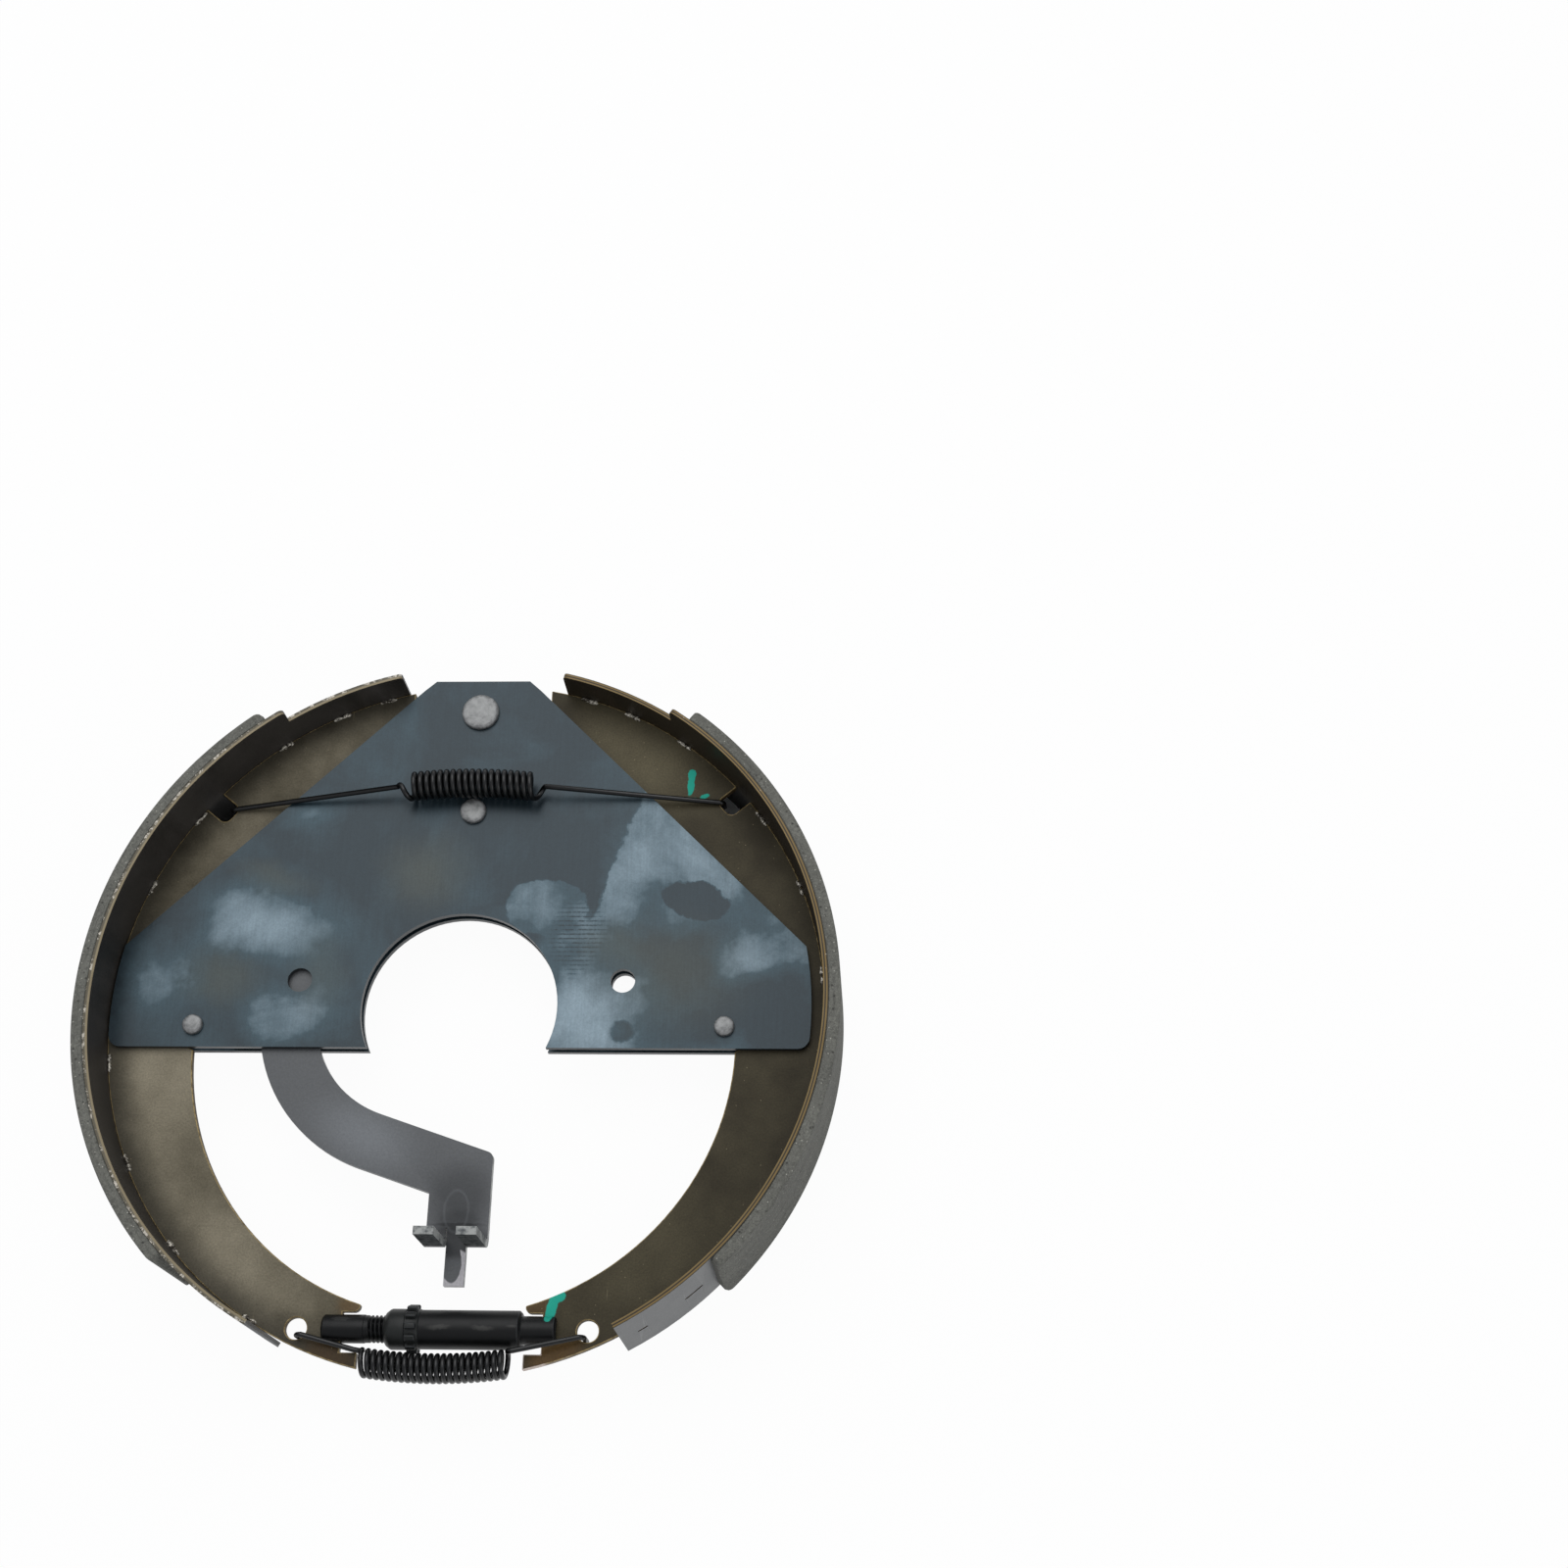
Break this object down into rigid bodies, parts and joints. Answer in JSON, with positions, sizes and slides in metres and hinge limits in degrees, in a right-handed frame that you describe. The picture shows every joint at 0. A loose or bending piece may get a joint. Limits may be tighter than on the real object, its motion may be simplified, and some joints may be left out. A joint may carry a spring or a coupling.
{
  "type": "electric trailer brake assembly",
  "caption": "Drum brake shoe and lever assembly: curved lined shoes, riveted lever plates, a bent magnet lever, hooked springs and a star-wheel adjuster.",
  "frame": {"origin": "centre of the spindle opening, in the middle plane of the shoe webs", "axes": "+Z along the spindle, out of the open front; +Y from the spindle opening to the anchor rivet; +X to the right seen from the front"},
  "size_m": [0.3036, 0.2932, 0.0508],
  "materials": {
    "plate_steel": "satin",
    "lever_steel": "satin",
    "rivet_steel": "satin",
    "shoe_steel": "satin",
    "black_steel": "satin",
    "friction_lining": "matte"
  },
  "bodies": {
    "lever_plates": {"front_plate": "plate_steel", "rear_plate": "plate_steel", "anchor_rivet": "rivet_steel", "anchor_bush": "rivet_steel", "pivot_rivet": "rivet_steel", "pivot_bush": "rivet_steel", "left_rivet": "rivet_steel", "right_rivet": "rivet_steel", "left_spacer": "rivet_steel", "right_spacer": "rivet_steel", "adjusting_screw": "black_steel", "retractor_spring": "black_steel", "adjuster_spring": "black_steel"},
    "lever": {"actuating_lever": "lever_steel"},
    "left_shoe": {"left_web": "shoe_steel", "left_table": "shoe_steel", "left_lining": "friction_lining"},
    "right_shoe": {"right_web": "shoe_steel", "right_table": "shoe_steel", "right_lining": "friction_lining"},
    "socket": {"adjuster_socket": "black_steel"},
    "star": {"star_wheel": "black_steel"}
  },
  "joints": [
    {"name": "lever_swing", "type": "hinge", "parent": "lever_plates", "child": "lever", "pos_m": [0, 0.0848, 0], "axis": [0, 0, 1], "range_deg": [0, 6], "deforming": ["retractor_spring", "adjuster_spring"]},
    {"name": "left_shoe_spread", "type": "hinge", "parent": "lever_plates", "child": "left_shoe", "pos_m": [-0.0364, -0.1272, 0], "axis": [0, 0, 1], "range_deg": [0, 0.7], "deforming": ["retractor_spring", "adjuster_spring"]},
    {"name": "right_shoe_spread", "type": "hinge", "parent": "lever_plates", "child": "right_shoe", "pos_m": [0, 0.13, 0], "axis": [0, 0, 1], "range_deg": [0, 1.07], "deforming": ["retractor_spring", "adjuster_spring"]},
    {"name": "socket_slide", "type": "slide", "parent": "lever_plates", "child": "socket", "axis": [1, 0, 0], "range_m": [0, 0.0052], "deforming": ["adjuster_spring"]},
    {"name": "star_wheel_spin", "type": "hinge", "parent": "socket", "child": "star", "pos_m": [0, -0.1272, 0], "axis": [1, 0, 0], "range_deg": [0, 1083], "deforming": ["adjuster_spring"]}
  ],
  "couplings": [
    {"joint": "left_shoe_spread", "follows": "lever_swing", "ratio": 0.1059},
    {"joint": "socket_slide", "follows": "right_shoe_spread", "m_per_rad": 0.2572},
    {"joint": "star_wheel_spin", "follows": "right_shoe_spread", "ratio": 1010}
  ]
}
